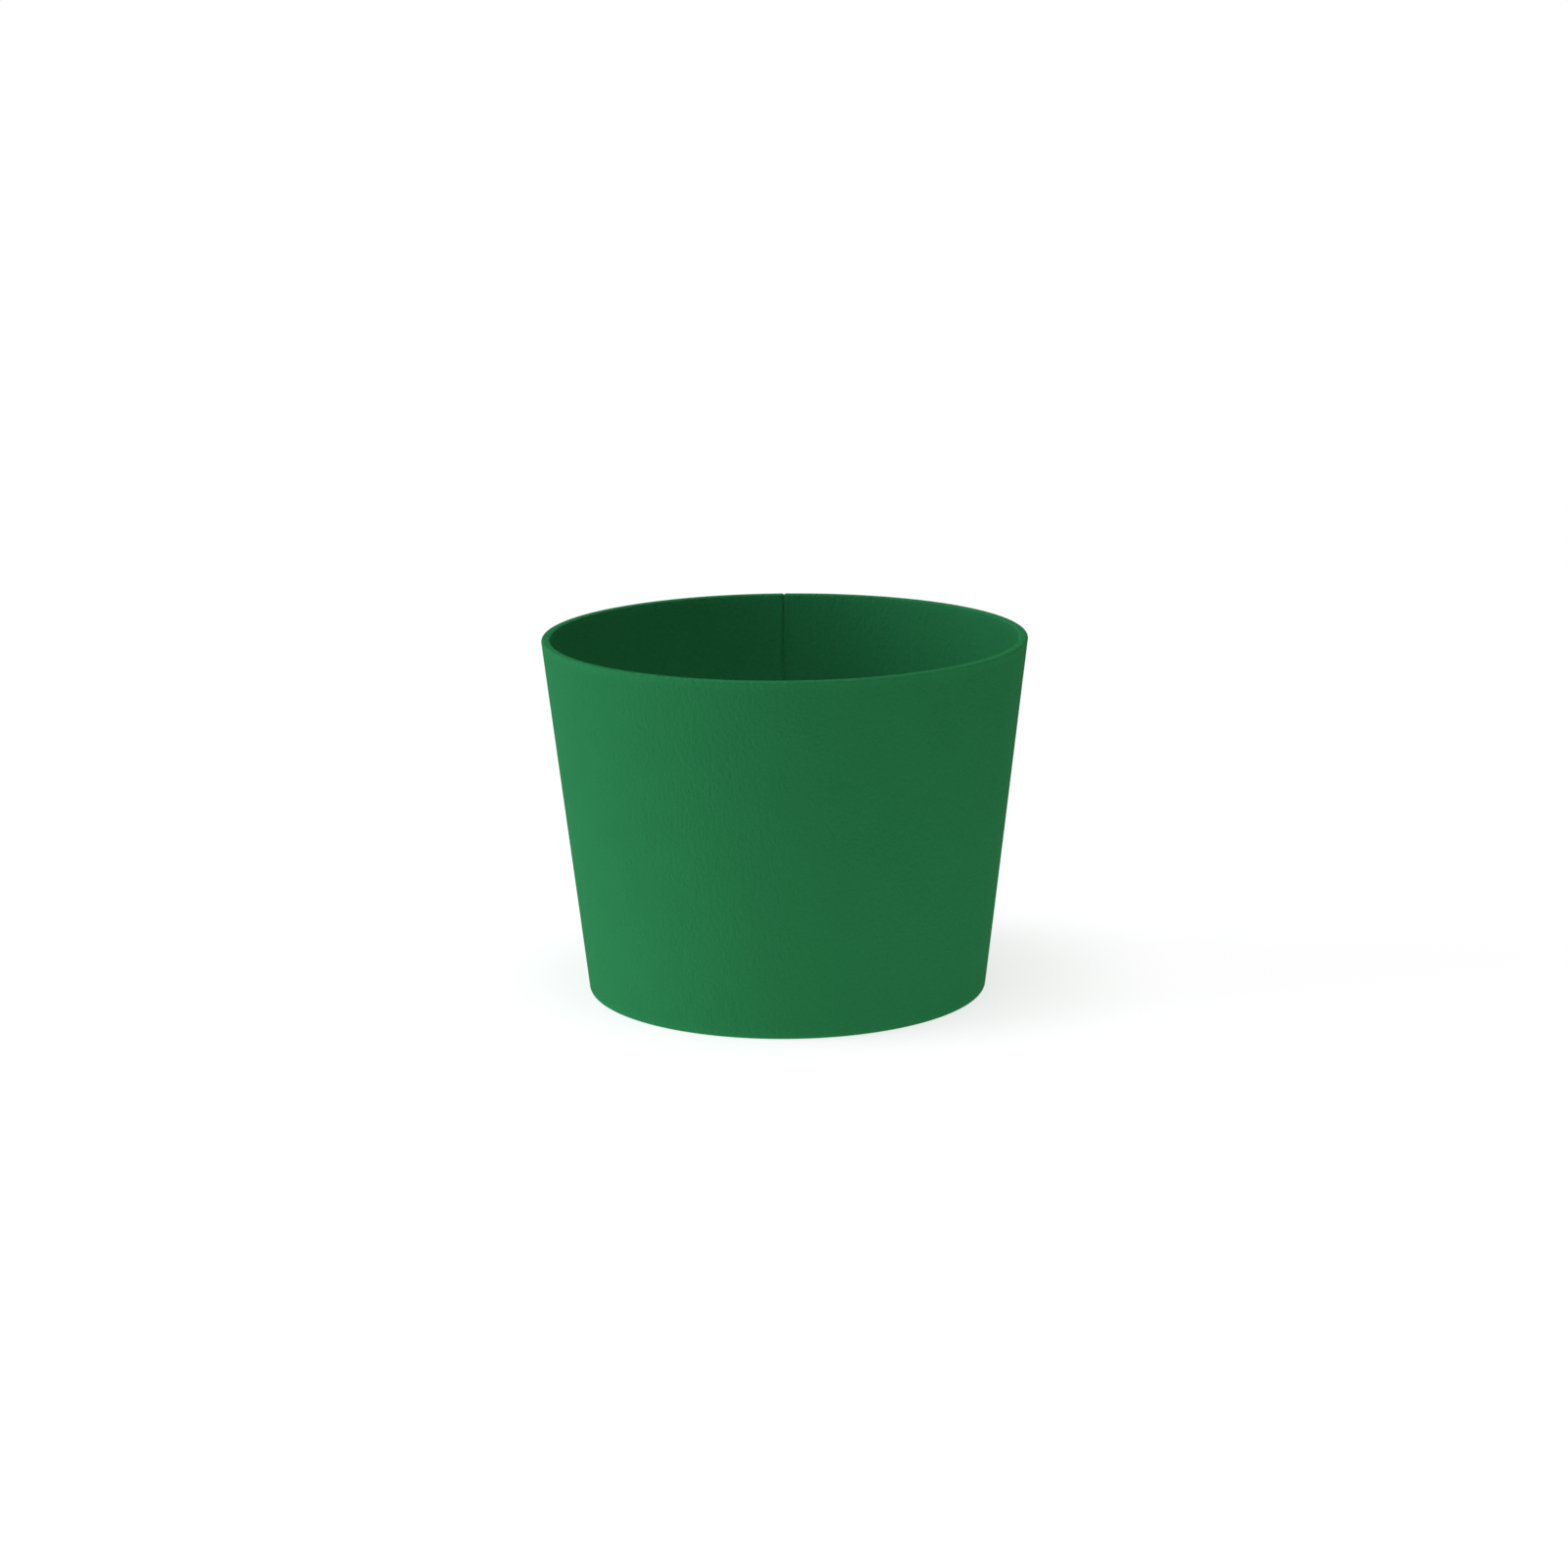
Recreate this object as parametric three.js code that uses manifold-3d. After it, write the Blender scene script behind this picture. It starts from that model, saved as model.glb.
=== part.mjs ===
// Foam sleeve: one band of closed-cell foam sheet, wrapped into a cone and
// heat-fused edge to edge down the back. Millimetres, +Z up, and the narrow
// rim stands on z = 0 with its centre at the origin.

import * as THREE from 'three';
import { mergeVertices } from 'three/addons/utils/BufferGeometryUtils.js';
import Module from 'manifold-3d';

// Driving dimensions
const height = 60; // upright, from rim to rim
const topDiameter = 81; // outside, at the wide rim
const bottomDiameter = 67.2; // outside, at the narrow rim
const sheetThickness = 1.5; // foam, measured square to the wall
const edgeRounding = 0.4; // radius that the cut foam edges relax to
const seamWidth = 0.8; // mouth of the fused groove, on either face
const seamDepth = 0.3; // how far that groove sinks into each face
const rimSeamDepth = 0.2; // how far it dips where it crosses a rim

// Facets
const facetsRound = 144;
const facetsPerRounding = 4;

// The wall leans out by the taper angle, so a level cut through it is a
// little wider than the sheet is thick.
const taper = Math.atan2(topDiameter - bottomDiameter, 2 * height);
const slantLength = height / Math.cos(taper);
const levelThickness = sheetThickness / Math.cos(taper);
const edgeRadius = Math.min(edgeRounding, levelThickness / 3);

function outerRadius(z) {
  return THREE.MathUtils.lerp(bottomDiameter, topDiameter, z / height) / 2;
}

function innerRadius(z) {
  return outerRadius(z) - levelThickness;
}

function middleRadius(z) {
  return outerRadius(z) - levelThickness / 2;
}

// Adds an arc that touches both edges of the section that meet at a corner.
function addRoundedCorner(section, before, corner, after) {
  const backward = before.clone().sub(corner).normalize();
  const forward = after.clone().sub(corner).normalize();
  const halfAngle = backward.angleTo(forward) / 2;
  const centre = backward.clone().add(forward).normalize();
  centre.multiplyScalar(edgeRadius / Math.sin(halfAngle)).add(corner);
  const tangentLength = edgeRadius / Math.tan(halfAngle);
  const start = backward.multiplyScalar(tangentLength).add(corner).sub(centre);
  const end = forward.multiplyScalar(tangentLength).add(corner).sub(centre);
  section.absarc(centre.x, centre.y, edgeRadius, start.angle(), end.angle(), false);
}

// Section of the wall, radius across and height up: flat level rims, a
// straight slanted wall between them and four softly rounded edges.
function wallSection() {
  const corners = [
    new THREE.Vector2(outerRadius(0), 0),
    new THREE.Vector2(outerRadius(height), height),
    new THREE.Vector2(innerRadius(height), height),
    new THREE.Vector2(innerRadius(0), 0),
  ];
  const section = new THREE.Path();
  corners.forEach((corner, i) => {
    const before = corners.at(i - 1);
    const after = corners[(i + 1) % corners.length];
    addRoundedCorner(section, before, corner, after);
  });
  section.closePath();
  return section.getPoints(facetsPerRounding / 2);
}

// The wrapped band, turned about +Z.
function wallGeometry() {
  return new THREE.LatheGeometry(wallSection(), facetsRound).rotateX(Math.PI / 2);
}

// V-shaped bar along Z, centred on the origin. Its mouth is the seam's width
// at y = 0, its tip lies at -depth, and it stands as far out as it sinks in.
function grooveBar(depth, length) {
  const section = new THREE.Shape([
    new THREE.Vector2(0, -depth),
    new THREE.Vector2(seamWidth, depth),
    new THREE.Vector2(-seamWidth, depth),
  ]);
  const bar = new THREE.ExtrudeGeometry(section, { depth: length, bevelEnabled: false });
  return bar.translate(0, 0, -length / 2);
}

// The fused seam runs down the back, at +Y: a groove down each face of the
// wall along its slant, and a shallower one across each rim.
function seamGrooves() {
  const wallBar = slantLength + 2 * sheetThickness;
  const rimBar = 2 * levelThickness;
  const halfway = height / 2;
  return [
    grooveBar(seamDepth, wallBar).rotateX(-taper).translate(0, outerRadius(halfway), halfway),
    grooveBar(seamDepth, wallBar).rotateZ(Math.PI).rotateX(-taper)
      .translate(0, innerRadius(halfway), halfway),
    grooveBar(rimSeamDepth, rimBar).rotateX(Math.PI / 2).translate(0, middleRadius(height), height),
    grooveBar(rimSeamDepth, rimBar).rotateX(-Math.PI / 2).translate(0, middleRadius(0), 0),
  ];
}

// Solids for cutting, with coincident vertices merged
const wasm = await Module();
wasm.setup();

function toSolid(geometry) {
  geometry.deleteAttribute('normal');
  geometry.deleteAttribute('uv');
  const merged = mergeVertices(geometry);
  return new wasm.Manifold(new wasm.Mesh({
    numProp: 3,
    vertProperties: Float32Array.from(merged.getAttribute('position').array),
    triVerts: Uint32Array.from(merged.getIndex().array),
  }));
}

function toGeometry(solid) {
  const { vertProperties, triVerts } = solid.getMesh();
  const geometry = new THREE.BufferGeometry();
  geometry.setAttribute('position', new THREE.BufferAttribute(vertProperties, 3));
  geometry.setIndex(new THREE.BufferAttribute(triVerts, 1));
  geometry.computeVertexNormals();
  return geometry;
}

// Matt green foam, the same all through
const greenFoam = new THREE.MeshStandardMaterial({
  name: 'green_foam',
  color: 0x257044,
  roughness: 0.9,
  metalness: 0,
});

// The sleeve, one piece
let sleeveSolid = toSolid(wallGeometry());
for (const groove of seamGrooves()) {
  sleeveSolid = sleeveSolid.subtract(toSolid(groove));
}
const sleeve = new THREE.Mesh(toGeometry(sleeveSolid), greenFoam);
sleeve.name = 'foam_sleeve';

const foamSleeve = new THREE.Group();
foamSleeve.add(sleeve);

export default foamSleeve;
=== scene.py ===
import math

import bpy
import numpy as np
from mathutils import Matrix, Vector


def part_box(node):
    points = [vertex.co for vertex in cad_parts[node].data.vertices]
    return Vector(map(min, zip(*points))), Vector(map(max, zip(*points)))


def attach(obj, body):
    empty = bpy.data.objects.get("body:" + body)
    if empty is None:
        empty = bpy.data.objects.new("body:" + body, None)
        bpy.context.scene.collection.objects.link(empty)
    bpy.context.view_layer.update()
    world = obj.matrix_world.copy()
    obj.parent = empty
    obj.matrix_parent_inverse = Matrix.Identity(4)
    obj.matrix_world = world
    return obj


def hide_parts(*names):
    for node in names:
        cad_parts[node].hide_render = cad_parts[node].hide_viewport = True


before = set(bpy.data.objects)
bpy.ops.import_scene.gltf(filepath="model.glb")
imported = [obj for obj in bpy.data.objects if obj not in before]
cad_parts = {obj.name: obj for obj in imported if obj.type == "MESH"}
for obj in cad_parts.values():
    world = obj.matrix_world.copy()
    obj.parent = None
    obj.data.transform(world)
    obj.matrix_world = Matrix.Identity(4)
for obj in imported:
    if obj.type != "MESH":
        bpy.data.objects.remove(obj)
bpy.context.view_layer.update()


# The foam band
# One strip of closed-cell polyethylene foam, die-cut flat as a sector of a ring,
# wrapped into a cone and heat-fused edge to edge down the back. Its cut edges
# relax to a soft round.

low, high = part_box("foam_sleeve")
height = high[2] - low[2]
top_radius = 0.0405
bottom_radius = 0.0336
foam_thickness = 0.0015
edge_radius = 0.0004
steps_up_wall = 56
steps_round_edge = 7
steps_across_rim = 6


def foam_section():
    """Closed section of the wall, anticlockwise, as radius, height and the
    outward normal's two parts. Each corner is an arc of the edge radius that
    touches both edges meeting there, and straight runs join arc to arc."""
    taper = math.atan2(top_radius - bottom_radius, height)
    level_thickness = foam_thickness / math.cos(taper)
    corners = np.array([
        (bottom_radius, 0),
        (top_radius, height),
        (top_radius - level_thickness, height),
        (bottom_radius - level_thickness, 0),
    ])
    backward = np.roll(corners, 1, axis=0) - corners
    forward = np.roll(corners, -1, axis=0) - corners
    backward /= np.linalg.norm(backward, axis=1, keepdims=True)
    forward /= np.linalg.norm(forward, axis=1, keepdims=True)
    half_angle = np.arccos((backward * forward).sum(axis=1)) / 2
    bisector = backward + forward
    bisector /= np.linalg.norm(bisector, axis=1, keepdims=True)
    centres = corners + bisector * (edge_radius / np.sin(half_angle))[:, None]
    run_normals = np.stack([forward[:, 1], -forward[:, 0]], axis=1)
    last_normal = np.arctan2(run_normals[:, 1], run_normals[:, 0])
    first_normal = np.roll(last_normal, 1)
    turn = np.mod(last_normal - first_normal, 2 * np.pi)
    points, normals = [], []
    runs = (steps_up_wall, steps_across_rim, steps_up_wall, steps_across_rim)
    for i, run in enumerate(runs):
        angle = first_normal[i] + turn[i] * np.linspace(0, 1, steps_round_edge + 1)
        arc = np.stack([np.cos(angle), np.sin(angle)], axis=1)
        after = (i + 1) % len(runs)
        start = centres[i] + edge_radius * arc[-1]
        end = centres[after] + edge_radius * run_normals[i]
        share = np.linspace(0, 1, run + 1)[1:-1, None]
        points += [centres[i] + edge_radius * arc, start + (end - start) * share]
        normals += [arc, np.tile(run_normals[i], (run - 1, 1))]
    return np.concatenate(points), np.concatenate(normals)


# The seam: the two ends of the strip are melted together under a hot bar, which
# leaves a fine groove down both faces with a low bead of melt on each side. It
# isn't a separate piece, so it is a relief of the same surface, at the back.
seam_azimuth = math.pi / 2
seam_depth = 0.00016
seam_half_width = 0.00020
bead_height = 0.00004
bead_offset = 0.00062
bead_half_width = 0.00026
seam_wander = 0.00010
seam_waves = ((9, 0.4, 1.0), (23, 2.1, 0.5))  # radians over the height, phase, share


def from_seam(azimuth, radius):
    """Arc length from the seam's line, at most half a turn either way."""
    return radius * (np.mod(azimuth - seam_azimuth + np.pi, 2 * np.pi) - np.pi)


def seam_relief(azimuth, radius, level):
    """How far the surface stands proud near the seam: a bell-shaped groove on
    the seam's line, plus a lower bell on each side of it. The line itself
    wanders by slow sine waves of the height."""
    wander = sum(share * np.sin(radians * level / height + phase)
                 for radians, phase, share in seam_waves)
    across = from_seam(azimuth, radius) - seam_wander * wander
    groove = np.exp(-(across / seam_half_width) ** 2)
    bead = np.exp(-((np.abs(across) - bead_offset) / bead_half_width) ** 2)
    return bead_height * bead - seam_depth * groove


# The sheet: it keeps slow waves from the roll, up to a twentieth of a millimetre
# high. Along each rim runs a band about a millimetre wide that is painted paler,
# a painted highlight of the light that the rim catches.
sheet_wave = 0.000025
sheet_waves = ((3, 2.2, 0.0, 1.0), (5, -3.1, 1.7, 0.6), (11, 5.3, 0.6, 0.4))  # turns, lean, phase, share
rim_highlight_width = 0.0010
rim_highlight_paleness = 0.45
rim_begins = 0.15
rim_is_full = 0.50


def sheet_relief(azimuth, level):
    """Sum of crossing sine waves, each of so many turns round and a lean with
    the height."""
    return sheet_wave * sum(share * np.sin(turns * azimuth + lean * level / height + phase)
                            for turns, lean, phase, share in sheet_waves)


def cut_paleness_and_highlight(level, up):
    """1 on the rims, where the normal points up or down, and 0 where its
    upright part is less than where the rim begins, with an even change
    between: the cut foam's own paleness, raised by painted highlight. On the
    walls it is a bell of the distance to the nearer rim, a painted highlight."""
    facing = np.clip((np.abs(up) - rim_begins) / (rim_is_full - rim_begins), 0, 1)
    margin = rim_highlight_paleness * np.exp(-(np.minimum(level, height - level) / rim_highlight_width) ** 2)
    return np.maximum(facing, margin)


# The wrap: steps round the band, and how far they crowd towards the seam.
steps_around = 620
crowding = 0.86


def foam_band():
    """The section carried round the axis, each point moved along its normal by
    the relief, which fades out just above the floor so that the band stands
    flat. Azimuths crowd towards the seam: a share s of the turn lies at 2 pi s
    less a part of sin(2 pi s)."""
    section, section_normals = foam_section()
    turn = 2 * np.pi * np.arange(steps_around) / steps_around
    azimuth = (seam_azimuth + turn - crowding * np.sin(turn))[:, None]
    radius, level = section[None, :, 0], section[None, :, 1]
    out, up = section_normals[None, :, 0], section_normals[None, :, 1]
    relief = seam_relief(azimuth, radius, level) + sheet_relief(azimuth, level) * np.abs(out)
    relief = relief * np.clip(level / edge_radius, 0, 1)
    r = radius + relief * out
    x, y = r * np.cos(azimuth), r * np.sin(azimuth)
    z = np.clip(level + relief * up, 0, height)
    count = section.shape[0]
    here = np.arange(steps_around)[:, None]
    there = (here + 1) % steps_around
    low_side = np.arange(count)[None, :]
    high_side = (low_side + 1) % count
    quads = np.stack([here * count + low_side, there * count + low_side,
                      there * count + high_side, here * count + high_side], axis=-1)
    mesh = bpy.data.meshes.new("foam_band")
    mesh.from_pydata(np.stack([x, y, z], axis=-1).reshape(-1, 3), [], quads.reshape(-1, 4))
    mesh.polygons.foreach_set("use_smooth", np.ones(len(mesh.polygons), dtype=bool))
    # Paleness of the cut rims, partly the cut foam's own and partly painted highlight, and a painted
    # highlight band down the wall from each rim.
    cut_and_highlight = np.broadcast_to(cut_paleness_and_highlight(level, up), relief.shape)
    mesh.attributes.new("cut_edge_and_highlight", "FLOAT", "POINT").data.foreach_set("value", cut_and_highlight.ravel())
    melt = np.exp(-(from_seam(azimuth, radius) / bead_offset) ** 2)
    mesh.attributes.new("melt", "FLOAT", "POINT").data.foreach_set("value", melt.ravel())
    mesh.update()
    band = bpy.data.objects.new("foam_band", mesh)
    bpy.context.scene.collection.objects.link(band)
    return band


# The green foam: it is coloured right through. Its closed skin shows the small
# cells below it as fine domes, and the rims show the larger cells that the knife
# has opened.
deep_green = (0.0134, 0.1200, 0.0398, 1)
light_green = (0.0214, 0.1910, 0.0638, 1)
skin_gloss = 0.01
cell_size = 0.00042
open_cell_size = 0.00075
grain_size = 0.0005
grain_stretch = 2
grain_detail = 4
mottle_size = 0.007
mottle_detail = 3
streak_width = 0.0006
streak_stretch = 9
streak_detail = 3

# Shares of the way from the deep green to the light one
base_tone = 0.5
mottle_tone = 0.18
# Painted shade: the grain is darker in its hollows, where its relief is low, and lighter on its rises.
grain_hollow_shade = 0.03
streak_tone = 0.04
# Painted shade: darker in the creases between the cell domes.
cell_crease_shade = -0.04
# Cut rims and the band along them: partly the cut foam's paleness, partly painted highlight.
cut_and_highlight_tone = 0.5
melt_tone = -0.2
noise_middle = 0.5
cell_middle = 0.4

# Roughness, and what the grain and the melt add to it
skin_roughness = 0.84
grain_roughness = 0.2
melt_roughness = -0.25

# Height of the relief, and the share of it that each pattern takes
relief_height = 0.00016
dome_relief = -0.35
grain_relief = 0.9
streak_relief = 0.35
pit_relief = 1.0


def green_foam():
    """Matt green foam. Cells are Voronoi domes, with painted shade in the
    creases between them. The skin's mottling, its grain and the faint streaks
    of the roll are noise, and the grain carries painted shade in its hollows.
    Cut edges are pitted and paler, partly as cut foam and partly as painted
    highlight, and the melt of the seam is darker and smoother."""
    material = bpy.data.materials.new("green_foam")
    material.use_nodes = True
    nodes = material.node_tree.nodes
    link = material.node_tree.links.new
    shader = nodes["Principled BSDF"]
    shader.inputs["Specular IOR Level"].default_value = skin_gloss
    place = nodes.new("ShaderNodeTexCoord").outputs["Object"]

    def noise(grain, detail, stretch=1):
        """Noise of the given grain in metres, drawn out along the height."""
        mapping = nodes.new("ShaderNodeMapping")
        mapping.inputs["Scale"].default_value = (1, 1, 1 / stretch)
        link(place, mapping.inputs["Vector"])
        texture = nodes.new("ShaderNodeTexNoise")
        texture.inputs["Scale"].default_value = 1 / grain
        texture.inputs["Detail"].default_value = detail
        link(mapping.outputs["Vector"], texture.inputs["Vector"])
        return texture.outputs["Fac"]

    def cells(size):
        """Distance to the nearest cell centre, for cells of the given size."""
        texture = nodes.new("ShaderNodeTexVoronoi")
        texture.inputs["Scale"].default_value = 1 / size
        link(place, texture.inputs["Vector"])
        return texture.outputs["Distance"]

    def math_node(operation, *values):
        """One Math node over values or sockets."""
        node = nodes.new("ShaderNodeMath")
        node.operation = operation
        for socket, value in zip(node.inputs, values):
            if isinstance(value, (int, float)):
                socket.default_value = value
            else:
                link(value, socket)
        return node.outputs[0]

    def attribute(name):
        """The band's own value of that name."""
        node = nodes.new("ShaderNodeAttribute")
        node.attribute_name = name
        return node.outputs["Fac"]

    fine_cells = cells(cell_size)
    open_cells = cells(open_cell_size)
    grain = noise(grain_size, grain_detail, grain_stretch)
    mottle = noise(mottle_size, mottle_detail)
    streaks = noise(streak_width, streak_detail, streak_stretch)
    cut_and_highlight = attribute("cut_edge_and_highlight")
    melt = attribute("melt")

    # Colour: each pattern, less its middle value, times its share
    tone = base_tone
    for pattern, middle_value, share in (
        (mottle, noise_middle, mottle_tone),
        (grain, noise_middle, grain_hollow_shade),
        (streaks, noise_middle, streak_tone),
        (fine_cells, cell_middle, cell_crease_shade),
        (cut_and_highlight, 0, cut_and_highlight_tone),
        (melt, 0, melt_tone),
    ):
        tone = math_node("MULTIPLY_ADD", math_node("SUBTRACT", pattern, middle_value), share, tone)
    ramp = nodes.new("ShaderNodeValToRGB")
    ramp.color_ramp.elements[0].color = deep_green
    ramp.color_ramp.elements[1].color = light_green
    link(tone, ramp.inputs["Fac"])
    link(ramp.outputs["Color"], shader.inputs["Base Color"])

    roughness = math_node("MULTIPLY_ADD", grain, grain_roughness, skin_roughness)
    roughness = math_node("MULTIPLY_ADD", melt, melt_roughness, roughness)
    link(roughness, shader.inputs["Roughness"])

    # Relief: domes over the cells, grain, streaks, and pits where it was cut
    relief = math_node("MULTIPLY", math_node("POWER", fine_cells, 2), dome_relief)
    pits = math_node("MULTIPLY", open_cells, cut_and_highlight)
    for pattern, share in ((grain, grain_relief), (streaks, streak_relief), (pits, pit_relief)):
        relief = math_node("MULTIPLY_ADD", pattern, share, relief)
    bump = nodes.new("ShaderNodeBump")
    bump.inputs["Distance"].default_value = relief_height
    link(relief, bump.inputs["Height"])
    link(bump.outputs["Normal"], shader.inputs["Normal"])
    return material


band = foam_band()
band.data.materials.append(green_foam())
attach(band, "root")
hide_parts("foam_sleeve")


# The studio
# A wide pale floor under an even white surround. Both show as plain white, and
# the floor keeps the soft shadow of the sleeve. Three soft boxes light it.

plain_white = (1, 1, 1, 1)
floor_half = 4.0
floor_paint = (0.5, 0.5, 0.5, 1)
glow_near = 1.03
glow_far = 0.56
glow_seen = 0.66
glow_fades_from = 0.08
glow_fades_to = 0.22
plain_from = 0.18
plain_beyond = 0.60


def sees_background(nodes, link):
    """1 for the camera's rays and for those that gloss and clear plastic
    throw, which are to see the plain background, and 0 for all others."""
    path = nodes.new("ShaderNodeLightPath")
    seen = path.outputs["Is Camera Ray"]
    for kind in ("Is Glossy Ray", "Is Transmission Ray"):
        either = nodes.new("ShaderNodeMath")
        either.operation = "MAXIMUM"
        link(seen, either.inputs[0])
        link(path.outputs[kind], either.inputs[1])
        seen = either.outputs[0]
    return seen


def white_floor():
    """A flat square of pale translucent sheet, lit from below as on a light
    table, strongest under the sleeve. The camera sees one even glow, which
    leaves the shadow in place, and past a short way from the sleeve it sees
    plain white, so that the floor meets the surround with no edge."""
    corners = [(-floor_half, -floor_half, 0), (floor_half, -floor_half, 0),
               (floor_half, floor_half, 0), (-floor_half, floor_half, 0)]
    mesh = bpy.data.meshes.new("floor")
    mesh.from_pydata(corners, [], [(0, 1, 2, 3)])
    floor = bpy.data.objects.new("floor", mesh)
    bpy.context.scene.collection.objects.link(floor)
    material = bpy.data.materials.new("pale_floor")
    material.use_nodes = True
    nodes = material.node_tree.nodes
    link = material.node_tree.links.new
    nodes.remove(nodes["Principled BSDF"])
    paint = nodes.new("ShaderNodeBsdfDiffuse")
    paint.inputs["Color"].default_value = floor_paint
    place = nodes.new("ShaderNodeTexCoord").outputs["Object"]
    distance = nodes.new("ShaderNodeVectorMath")
    distance.operation = "LENGTH"
    link(place, distance.inputs[0])

    def smooth_step(start, end, first, last):
        """A smooth change from the first value to the last with distance."""
        node = nodes.new("ShaderNodeMapRange")
        node.interpolation_type = "SMOOTHSTEP"
        node.inputs["From Min"].default_value = start
        node.inputs["From Max"].default_value = end
        node.inputs["To Min"].default_value = first
        node.inputs["To Max"].default_value = last
        link(distance.outputs["Value"], node.inputs["Value"])
        return node.outputs["Result"]

    background_ray = sees_background(nodes, link)
    strength = nodes.new("ShaderNodeMapRange")
    strength.inputs["To Max"].default_value = glow_seen
    link(background_ray, strength.inputs["Value"])
    link(smooth_step(glow_fades_from, glow_fades_to, glow_near, glow_far),
         strength.inputs["To Min"])
    glow = nodes.new("ShaderNodeEmission")
    link(strength.outputs["Result"], glow.inputs["Strength"])
    lit = nodes.new("ShaderNodeAddShader")
    link(paint.outputs[0], lit.inputs[0])
    link(glow.outputs[0], lit.inputs[1])
    seen_plain = nodes.new("ShaderNodeMath")
    seen_plain.operation = "MULTIPLY"
    link(background_ray, seen_plain.inputs[0])
    link(smooth_step(plain_from, plain_beyond, 0, 1), seen_plain.inputs[1])
    plain = nodes.new("ShaderNodeEmission")
    mix = nodes.new("ShaderNodeMixShader")
    link(seen_plain.outputs[0], mix.inputs["Fac"])
    link(lit.outputs[0], mix.inputs[1])
    link(plain.outputs[0], mix.inputs[2])
    link(mix.outputs[0], nodes["Material Output"].inputs["Surface"])
    mesh.materials.append(material)


surround_level = 0.18


def white_surround():
    """The world lights the sleeve at the surround's level, and is seen as
    plain white."""
    world = bpy.data.worlds.new("surround")
    world.use_nodes = True
    bpy.context.scene.world = world
    nodes = world.node_tree.nodes
    link = world.node_tree.links.new
    light = nodes["Background"]
    light.inputs["Color"].default_value = plain_white
    light.inputs["Strength"].default_value = surround_level
    seen = nodes.new("ShaderNodeBackground")
    seen.inputs["Color"].default_value = plain_white
    mix = nodes.new("ShaderNodeMixShader")
    link(sees_background(nodes, link), mix.inputs["Fac"])
    link(light.outputs[0], mix.inputs[1])
    link(seen.outputs[0], mix.inputs[2])
    link(mix.outputs[0], nodes["World Output"].inputs["Surface"])


middle = Vector((0, 0, height / 2))
daylight_tint = (0.85, 0.86, 1)


def soft_box(name, level, azimuth, elevation, distance, side, tint=(1, 1, 1)):
    """A square lamp of the given tint, aimed at the sleeve's middle. Azimuth 0
    is the front and 90 the right. A white card at the middle, facing the lamp,
    would show at the given level, which takes a power of level x pi squared x
    distance squared."""
    turn, rise = math.radians(azimuth), math.radians(elevation)
    away = Vector((math.sin(turn) * math.cos(rise), -math.cos(turn) * math.cos(rise), math.sin(rise)))
    lamp = bpy.data.lights.new(name, "AREA")
    lamp.shape = "SQUARE"
    lamp.size = side
    lamp.energy = level * math.pi ** 2 * distance ** 2
    lamp.color = tint
    box = bpy.data.objects.new(name, lamp)
    box.location = middle + distance * away
    box.rotation_euler = away.to_track_quat("Z", "Y").to_euler()
    bpy.context.scene.collection.objects.link(box)


white_floor()
white_surround()
soft_box("key_left", level=1.067, azimuth=-85, elevation=12, distance=1.2, side=0.9,
         tint=daylight_tint)
soft_box("fill_right", level=0.025, azimuth=70, elevation=12, distance=1.2, side=0.9)
soft_box("overhead", level=0.60, azimuth=0, elevation=84, distance=1.4, side=1.1)


# The camera
# Where the photograph was taken from: in front of the sleeve, higher than its
# upper rim and tilted down to it, with a hair of roll.

camera_distance = 0.5635
camera_height = 0.16455
camera_aside = -0.0003
camera_pitch = 0.2269
camera_roll = -0.0087
focal_length_mm = 78.95
sensor_width_mm = 36

view = bpy.data.cameras.new("camera")
view.lens = focal_length_mm
view.sensor_width = sensor_width_mm
camera = bpy.data.objects.new("camera", view)
camera.matrix_world = (Matrix.Translation((camera_aside, -camera_distance, camera_height))
                       @ Matrix.Rotation(math.pi / 2 - camera_pitch, 4, "X")
                       @ Matrix.Rotation(camera_roll, 4, "Z"))
bpy.context.scene.collection.objects.link(camera)
bpy.context.scene.camera = camera
bpy.context.scene.view_settings.view_transform = "Standard"
